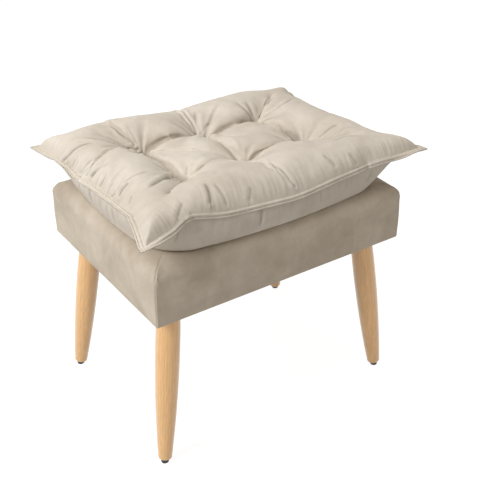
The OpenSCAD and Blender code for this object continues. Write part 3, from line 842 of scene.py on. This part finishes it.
# Each fold: depth and width, the side of its lip, its strength where it begins and ends, and its way.
# Lengths are in mm. The upper panel's ways are in plan, and the lower panel's have heights.
folds = (
    (3.0, 4.5, -1, 0, 1, ((-214, 116), (-198, 106), (-184, 97), (-169, 88), (-155, 85), (-136, 90),
                          (-125, 86))),
    (2.2, 4, -1, 0, 1, ((-152, 141), (-146, 127), (-141, 111), (-131, 99), (-127, 91))),
    (1.4, 4, -1, 0, 1, ((-148, 121), (-142, 109), (-133, 96))),
    (3.6, 5, -1, 0.7, 0, ((-250, 115), (-244, 109), (-235, 105), (-224, 100), (-211, 95), (-198, 90))),
    (1.4, 3.5, -1, 0, 0, ((-224, 112), (-214, 105), (-202, 98))),
    (1.6, 4, -1, 0.8, 0, ((-247, 101), (-242, 101), (-235, 99))),
    (1.5, 4, -1, 1, 0, ((-246, 75), (-241, 78), (-234, 81))),
    (1.7, 5, -1, 1, 0, ((-243, 65), (-233, 60), (-219, 59))),
    (1.6, 4, -1, 1, 0, ((-241, 47), (-230, 41), (-215, 40))),
    (1.8, 5, -1, 1, 0, ((-237, 34), (-230, 30), (-208, 18))),
    (1.5, 4, -1, 1, 0, ((-238, 5), (-230, 4), (-220, 7))),
    (1.5, 4, -1, 1, 0, ((-238, -23), (-234, -23), (-226, -26))),
    (2.6, 4, -1, 1, 0, ((-238, -37), (-232, -43), (-221, -49), (-207, -50), (-191, -51), (-172, -50))),
    (4.2, 5, -1, 1, 0, ((-234, -58), (-223, -58), (-215, -56))),
    (1.8, 4, -1, 1, 0, ((-236, -93), (-227, -87))),
    (1.2, 6, 1, 0, 0.6, ((-131, 118), (-128, 105), (-127, 92))),
    (3.0, 4, 1, 0, 0.8, ((6, 155), (-1, 125), (-2, 108), (-5, 92), (-8, 82))),
    (1.2, 4, 1, 0, 0.8, ((-23, 109), (-18, 93), (-10, 82))),
    (1.8, 8, 1, 0, 0.8, ((20, 129), (4, 101), (-5, 80))),
    (1.4, 5, 1, 0, 0.8, ((30, 89), (16, 86), (1, 76))),
    (1.0, 4, 1, 0, 0, ((-157, -11), (-142, -23), (-137, -44))),
    (2.4, 6, 1, 0, 0.8, ((-213, -101), (-197, -93), (-178, -83), (-150, -62), (-123, -36))),
    (1.6, 4, 1, 0, 0.8, ((-97, -36), (-107, -47))),
    (2.2, 6, -1, 0, 0.8, ((-126, -135), (-132, -156), (-138, -169))),
    (1.4, 7, -1, 0, 0.8, ((-179, -157), (-197, -172))),
    (1.2, 4, 1, 0, 0.8, ((94, 109), (100, 94), (104, 83), (109, 73))),
    (1.4, 8, 1, 0, 0.8, ((116, 107), (115, 90), (111, 73))),
    (3.4, 4.5, -1, 0, 1, ((185, 114), (163, 100), (141, 87), (129, 78))),
    (2.2, 5, -1, 0, 1, ((204, 71), (177, 63), (157, 63), (141, 67), (126, 65))),
    (1.3, 5, 1, 0, 0.8, ((97, -2), (107, -15), (110, -32))),
    (2.4, 4, -1, 0.8, 0, ((148, -74), (161, -77), (175, -79), (185, -83))),
    (1.2, 5, -1, 0, 0, ((150, -91), (174, -95))),
    (2.6, 4, -1, 0, 0.5, ((3, -136), (6, -151), (10, -165), (13, -175), (16, -178))),
    (1.4, 5, -1, 0, 0.5, ((-116, -143), (-113, -161), (-113, -175))),
    (1.5, 5, -1, 0, 0.6, ((89, -152), (96, -162), (102, -172))),
    (1.2, 7, -1, 0, 0.8, ((-60, -163), (-70, -176))),
    (1.4, 6, -1, 0, 0.8, ((136, -165), (144, -177))),
    (1.0, 6, -1, 0, 0, ((126, -121), (179, -97), (206, -113))),
    (0.8, 6, -1, 0, 0, ((123, -136), (162, -129), (195, -142))),
)
lowFolds = (
    (1.5, 5, -1, 0.3, 0, ((-200, -184, 452), (-202, -180, 438), (-205, -172, 424))),
    (1.6, 5, 1, 0.3, 0, ((-53, -184, 452), (-54, -184, 434), (-57, -181, 413))),
    (0.9, 7, -1, 0.3, 0, ((62, -184, 450), (64, -184, 434), (65, -181, 420))),
    (1.2, 6, 1, 0.3, 0, ((178, -183, 450), (176, -181, 436), (173, -175, 420))),
    (1.1, 6, 1, 0.3, 0, ((-118, 186, 450), (-116, 186, 434), (-113, 181, 416))),
    (1.3, 6, -1, 0.3, 0, ((22, 186, 450), (24, 186, 434), (27, 181, 414))),
    (1.2, 6, 1, 0.3, 0, ((-248, 62, 446), (-245, 60, 430), (-238, 58, 415))),
    (1.1, 6, -1, 0.3, 0, ((-244, -40, 446), (-241, -42, 430), (-236, -45, 412))),
    (1.2, 6, 1, 0.3, 0, ((246, 30, 446), (243, 27, 430), (238, 25, 413))),
)
# A fold is a crease with a lip beside it, in shares of the fold's own depth and width.
# dark is the fold depth in metres at which the painted crease shade is full
foldForm = {"crease": 1.5, "creaseWidth": 0.42, "lip": 0.6, "lipAway": 1.2, "lipWidth": 0.8,
            "otherSide": 0.15, "run": 0.28, "deepest": 0.0046, "dark": 0.0032}
# Gathers at the seam, most of them at the left, pleats at the tufts and channels between the tufts.
gather = {"left": 1.5, "other": 0.5, "leftEnd": -0.17, "middleY": 0.015, "spanY": 0.085,
          "lift": 0.275, "wave": 0.0085, "reach": 0.014, "most": 0.06, "pleat": 0.0008,
          "pleatReach": 0.016, "channel": 0.006, "channelWidth": 0.010, "backRow": 1.5}


def curvedWay(points, step=0.0022):
    # Evenly spaced places on a smooth line through the given points.
    points = [2 * points[0] - points[1], *points, 2 * points[-1] - points[-2]]
    way = []
    for a, b, c, d in zip(points, points[1:], points[2:], points[3:]):
        count = max(1, round(float(np.linalg.norm(c - b)) / step))
        for t in (k / count for k in range(count)):
            way.append((2 * b + (c - a) * t + (2 * a - 5 * b + 4 * c - d) * t * t
                        + (3 * b - a - 3 * c + d) * t ** 3) / 2)
    return np.array(way + [points[-2]])


def foldLine(places, normals, way):
    # Brings a way on to the panel, from beside it or, for a way in plan, from above.
    if way.shape[1] == 3:
        at = np.linalg.norm(way[:, None] - places[None], axis=2).argmin(axis=1)
        return way + normals[at] * ((places[at] - way) * normals[at]).sum(axis=1)[:, None]
    low, high = way.min(axis=0) - 0.03, way.max(axis=0) + 0.03
    beside = places[np.all((places[:, :2] > low) & (places[:, :2] < high), axis=1)]
    apart = np.linalg.norm(way[:, None] - beside[None, :, :2], axis=2)
    nearest = beside[apart.argmin(axis=1), 2]
    # the lowest height close by, so that it stays in a deep valley
    heights = np.minimum(np.where(apart < 0.0016, beside[None, :, 2], np.inf).min(axis=1), nearest)
    padded = np.concatenate(([heights[0]] * 2, heights, [heights[-1]] * 2))
    return np.column_stack((way, np.convolve(padded, np.ones(5) / 5, "valid")))


def foldDepth(places, normals, way, depth, width, lean, begin, end):
    # How far each place moves along its normal for one fold: a crease with a lip on one side.
    f = foldForm
    line = foldLine(places, normals, way)
    low, high = line.min(axis=0) - 4 * width, line.max(axis=0) + 4 * width
    close = np.where(np.all((places > low) & (places < high), axis=1))[0]
    gap = places[close][:, None] - line[None]
    reach = np.linalg.norm(gap, axis=2)
    which = reach.argmin(axis=1)
    rows = np.arange(len(close))
    distance = reach[rows, which]
    ahead = np.gradient(line, axis=0)
    ahead /= np.linalg.norm(ahead, axis=1)[:, None]
    side = np.sign((gap[rows, which] * np.cross(normals[close], ahead[which])).sum(axis=1))
    t = which / (len(line) - 1)
    strength = np.clip(np.minimum(begin + t / f["run"], end + (1 - t) / f["run"]), 0, 1)
    strength = strength * strength * (3 - 2 * strength)
    crease = f["crease"] * np.exp(-np.sqrt(distance ** 2 + 2e-7) / (f["creaseWidth"] * width))
    lip = f["lip"] * np.exp(-((distance - f["lipAway"] * width) / (f["lipWidth"] * width)) ** 2)
    move = np.zeros(len(places))
    move[close] = strength * depth * (lip * np.where(side == lean, 1, f["otherSide"]) - crease)
    return move


def seamGathers(places, seam):
    # Small gathers that run in from the seam, most of them on the short left side.
    g = gather
    line = np.array([tuple(point) for point in seam])
    steps = np.linalg.norm(np.roll(line, -1, axis=0) - line, axis=1)
    along = np.concatenate(([0], np.cumsum(steps)[:-1]))
    move = np.zeros(len(places))
    for first in range(0, len(places), 4000):
        part = places[first:first + 4000]
        reach = np.linalg.norm(part[:, None] - line[None], axis=2)
        for k, (n, place) in enumerate(zip(reach.argmin(axis=1), part)):
            b = reach[k, n]
            if b > g["most"]:
                continue
            s = along[n] / g["wave"]
            wave = uneven(s * 1.1, b * 14, 3.1) + 0.5 * uneven(s * 2.3, b * 20, 8.4)
            middle = math.exp(-((place[1] - g["middleY"]) / g["spanY"]) ** 4)
            share = mix(g["other"], g["left"], middle) if place[0] < g["leftEnd"] else g["other"]
            move[first + k] = g["lift"] * share * wave * b * math.exp(-b / g["reach"])
    return move


def tuftPleats(places):
    # Fine pleats that fan out of each tuft.
    move = np.zeros(len(places))
    for number, (x, y) in enumerate(pillow["tufts"].values()):
        dx, dy = places[:, 0] - x, places[:, 1] - y
        r, turn = np.hypot(dx, dy), np.arctan2(dy, dx)
        wave = (np.sin(5 * turn + number * 1.7) + 0.8 * np.sin(7 * turn + number * 2.9 + 1)
                + 0.6 * np.sin(11 * turn + number * 4.1))
        away = r / gather["pleatReach"]
        move += gather["pleat"] * wave * away * np.exp(1 - away) * (r < 0.09)
    return move


def foldPanel(panel, lines, pleats):
    # Presses the folds into a settled panel; its seam stays where it is.
    # the fold layer holds painted crease shade with the crushed nap
    dark = panel.verts.layers.float.new("fold")
    panel.normal_update()
    verts = list(panel.verts)
    places = np.array([tuple(vert.co) for vert in verts])
    normals = np.array([tuple(vert.normal) for vert in verts])
    move = seamGathers(places, [vert.co for vert in seamRing(panel)])
    if pleats:
        move += tuftPleats(places)
    for depth, width, lean, begin, end, points in lines:
        way = curvedWay(np.array(points) / 1000)
        move += foldDepth(places, normals, way, depth / 1000, width / 1000, lean, begin, end)
    move = np.maximum(move, -foldForm["deepest"])
    for vert, place, normal, amount in zip(verts, places, normals, move):
        if not vert.is_boundary:
            vert.co = Vector(place + normal * amount)
            # painted shade: the deeper the crease, the darker its colour
            vert[dark] = min(1, max(0, -amount / foldForm["dark"]))


pillowNet, pillowSpots = cutPillow()
pillowShape = settlePillow(pillowNet, pillowSpots)
for centre, radius, push in pillow["nudges"]:
    # where the folds hold the seam or a billow up or down
    near = np.exp(-(np.linalg.norm(pillowShape - np.array(centre), axis=1) / radius) ** 2)
    pillowShape += near[:, None] * np.array(push)
for spot, place in zip(pillowSpots, pillowShape):
    if spot[2]:
        place[2] = max(place[2], boxTop(place[0], place[1]) + pillow["lowClear"])
straightenTips(pillowSpots, pillowShape)
shapeCorners(pillowSpots, pillowShape)
pressChannels(pillowNet, pillowSpots, pillowShape)
print("pillow settled", pillowShape.min(axis=0), pillowShape.max(axis=0))

topPanel = onePanel(pillowNet, pillowShape, 0, 2)
foldPanel(topPanel, folds, True)
seamPoints, seamWays = addFlange(topPanel, 1)
finishPanel(topPanel, "pillow_top", ("pillow_top_panel",))
lowPanel = onePanel(pillowNet, pillowShape, 1, 1)
foldPanel(lowPanel, lowFolds, False)
addFlange(lowPanel, -1)
finishPanel(lowPanel, "pillow_bottom", ("pillow_bottom_panel",))
print("pillow panels made")


filling = {"inLow": 0.0022, "inTop": 0.0065, "inSeam": 0.05, "tuftDip": 0.011, "tuftReach": 0.034}


def makeFilling():
    # The fibre filling, just inside both panels.
    f = filling
    net = pillowNet.copy()
    moveVerts(net, pillowShape)
    bmesh.ops.recalc_face_normals(net, faces=net.faces[:])
    net.normal_update()
    places = []
    for vert, (u, v, low) in zip(net.verts, pillowSpots):
        pull = 1 - f["inSeam"] * (max(abs(u), abs(v)) ** 12 + abs(u * v) ** 6)
        place = vert.co - vert.normal * f["inLow" if low else "inTop"]
        if not low:
            toTuft = min(math.hypot(place.x - x, place.y - y) for x, y in pillow["tufts"].values())
            place.z -= f["tuftDip"] * math.exp(-(toTuft / f["tuftReach"]) ** 2)
        places.append(Vector((place.x * pull, place.y * pull, place.z)))
    moveVerts(net, places)
    mesh = meshOf("pillow_filling", net)
    addPiece("pillow_filling", mesh, fibreFill, ("pillow_fill",))


makeFilling()


def makeFlangeStitches():
    # Short thread stitches on both faces of the flange.
    f = flange
    count = len(seamPoints)
    line = [flangeSpot(place, way, f["stitchIn"], 0) for place, way in zip(seamPoints, seamWays)]
    stitches = bmesh.new()
    bead = bmesh.new()
    bmesh.ops.create_uvsphere(bead, u_segments=6, v_segments=4, radius=1)
    bmesh.ops.scale(bead, verts=bead.verts[:], vec=f["stitch"])
    bmesh.ops.rotate(bead, verts=bead.verts[:], cent=(0, 0, 0), matrix=Matrix.Rotation(math.pi / 2, 3, "Y"))
    beadMesh = meshOf("bead", bead)
    travelled, due = 0, 0.001
    for k in range(count):
        a, b = line[k], line[(k + 1) % count]
        length = (b - a).length
        while due <= travelled + length:
            place = a.lerp(b, (due - travelled) / length)
            turn = Matrix.Rotation(math.atan2(b.y - a.y, b.x - a.x), 3, "Z")
            over = flangeSpot(seamPoints[k], seamWays[k], f["stitchIn"], f["stitchRise"]) - a
            for up in (1, -1):
                before = len(stitches.verts)
                stitches.from_mesh(beadMesh)
                stitches.verts.ensure_lookup_table()
                fresh = stitches.verts[before:]
                bmesh.ops.rotate(stitches, verts=fresh, cent=(0, 0, 0), matrix=turn)
                bmesh.ops.translate(stitches, verts=fresh, vec=place + over * up)
            due += f["stitchStep"]
        travelled += length
    addPiece("flange_stitches", meshOf("flange_stitches", stitches), sewingThread)
    bpy.data.meshes.remove(beadMesh)


makeFlangeStitches()
print("filling and stitches made")


twine = {"radius": 0.0009, "apart": 0.0011, "reach": 0.0040, "rise": 0.0013, "sink": 0.0035, "start": 0.004,
         "knotZ": 0.4075, "knot": 0.0022, "knotWave": 0.0006}


def tubeMesh(name, lines, radius):
    # A round strand along each line of points.
    curve = bpy.data.curves.new(name, "CURVE")
    curve.dimensions = "3D"
    curve.bevel_depth = radius
    curve.bevel_resolution = 2
    curve.use_fill_caps = True
    for line in lines:
        spline = curve.splines.new("POLY")
        spline.points.add(len(line) - 1)
        for point, place in zip(spline.points, line):
            point.co = (*place, 1)
    holder = bpy.data.objects.new(name, curve)
    mesh = bpy.data.meshes.new_from_object(holder)
    bpy.data.objects.remove(holder)
    bpy.data.curves.remove(curve)
    mesh.name = name
    return mesh


def makeTuftTwine():
    # At each tuft a short double stitch lies in the pit, runs down through the filling and is knotted below.
    w = twine
    lines = []
    for k, ((column, row), (x, y)) in enumerate(pillow["tufts"].items()):
        top = Vector((x, y, pillow["tuftZ"] + pillow["thickness"]))
        foot = Vector((column * pillow["tuftX"], row * pillow["tuftY"], w["knotZ"]))
        turn = Matrix.Rotation(0.5 + 0.9 * k, 3, "Z")
        for side in (-1, 1):
            line = []
            for t in (step / 6 - 1 for step in range(13)):
                lift = w["rise"] * (1 - t ** 4) - w["sink"] * max(0, abs(t) - 0.8) / 0.2
                line.append(turn @ Vector((t * w["reach"], side * w["apart"], lift)) + top)
            lines.append(line)
        low = top - Vector((0, 0, w["start"]))
        lines.append([low.lerp(foot, t / 8) for t in range(9)])
        lines.append([foot + turn @ Vector((math.cos(a) * w["knot"], math.sin(a) * w["knot"],
                                            w["knotWave"] * math.sin(2 * a)))
                      for a in (math.tau * t / 18 for t in range(20))])
    mesh = tubeMesh("tuft_twine", lines, w["radius"])
    addPiece("tuft_twine", mesh, tuftTwine, ("tuft_ties",))


makeTuftTwine()
print("tuft twine made")


# Camera, light and floor

view = {"place": (-0.788, -1.198, 1.139), "turn": -34.36, "tilt": 30.83, "focus": 914.3, "pixels": 480}
cameraData = bpy.data.cameras.new("camera")
cameraData.sensor_fit = "HORIZONTAL"
cameraData.sensor_width = 36
cameraData.lens = view["focus"] / view["pixels"] * cameraData.sensor_width
camera = bpy.data.objects.new("camera", cameraData)
scene.collection.objects.link(camera)
camera.location = view["place"]
camera.rotation_euler = (math.radians(90 - view["tilt"]), 0, math.radians(view["turn"]))
scene.camera = camera

light = {
    "fill": 0.37, "fillTint": (1.0, 0.925, 0.85), "aim": (0, 0, 0.35),
    "lamps": {
        "key": {"place": (-2.3, -0.1, 2.0), "size": (1.1, 1.1), "power": 53, "tint": (0.98, 0.985, 1.0)},
        "top": {"place": (0.1, 0.4, 2.6), "size": (1.8, 1.8), "power": 20, "tint": (1.0, 0.99, 0.97)},
        "strip": {"place": (1.1, -2.0, 0.55), "size": (0.10, 0.9), "power": 3.6, "tint": (1.0, 0.98, 0.95)}},
    "floor": 0.62, "floorGlow": 0.90, "floorShare": 0.28,
}


def shownDirectly(tree):
    # 1 for what the camera sees, also in a gloss
    rays = addNode(tree, "LightPath").outputs
    return addMath(tree, "MAXIMUM", rays["Is Camera Ray"], rays["Is Glossy Ray"])


def addMixShader(tree, share, first, second):
    return addNode(tree, "MixShader", {0: share, 1: first.outputs[0], 2: second.outputs[0]}).outputs[0]


world = bpy.data.worlds.new("studio")
scene.world = world
world.use_nodes = True
sky = world.node_tree
sky.nodes.clear()
soft = addNode(sky, "Background", {"Color": (*light["fillTint"], 1), "Strength": light["fill"]})
white = addNode(sky, "Background", {"Color": (1, 1, 1, 1), "Strength": 1})
addNode(sky, "OutputWorld", {"Surface": addMixShader(sky, shownDirectly(sky), soft, white)})

for name, lampLook in light["lamps"].items():
    lampData = bpy.data.lights.new(name, "AREA")
    lampData.shape = "RECTANGLE"
    lampData.size, lampData.size_y = lampLook["size"]
    lampData.energy = lampLook["power"]
    lampData.color = lampLook["tint"]
    lamp = bpy.data.objects.new(name, lampData)
    scene.collection.objects.link(lamp)
    lamp.location = lampLook["place"]
    aim = Vector(light["aim"]) - Vector(lampLook["place"])
    lamp.rotation_euler = aim.to_track_quat("-Z", "Y").to_euler()

floorNet = bmesh.new()
bmesh.ops.create_grid(floorNet, x_segments=1, y_segments=1, size=8)
floor = bpy.data.objects.new("floor", meshOf("floor", floorNet))
scene.collection.objects.link(floor)
paper = bpy.data.materials.new("paper")
paper.use_nodes = True
paperTree = paper.node_tree
paperTree.nodes.clear()
matt = addNode(paperTree, "BsdfDiffuse", {"Color": (*[light["floor"]] * 3, 1)})
# seen by the camera the paper is white, with its shadow kept
glow = addNode(paperTree, "Emission", {"Color": (1, 1, 1, 1), "Strength": light["floorGlow"]})
pale = addNode(paperTree, "BsdfDiffuse", {"Color": (*[light["floorShare"]] * 3, 1)})
both = addNode(paperTree, "AddShader", {0: glow.outputs[0], 1: pale.outputs[0]})
paperLook = addMixShader(paperTree, shownDirectly(paperTree), matt, both)
addNode(paperTree, "OutputMaterial", {"Surface": paperLook})
floor.data.materials.append(paper)
scene.view_settings.view_transform = "Standard"
print("stage set")
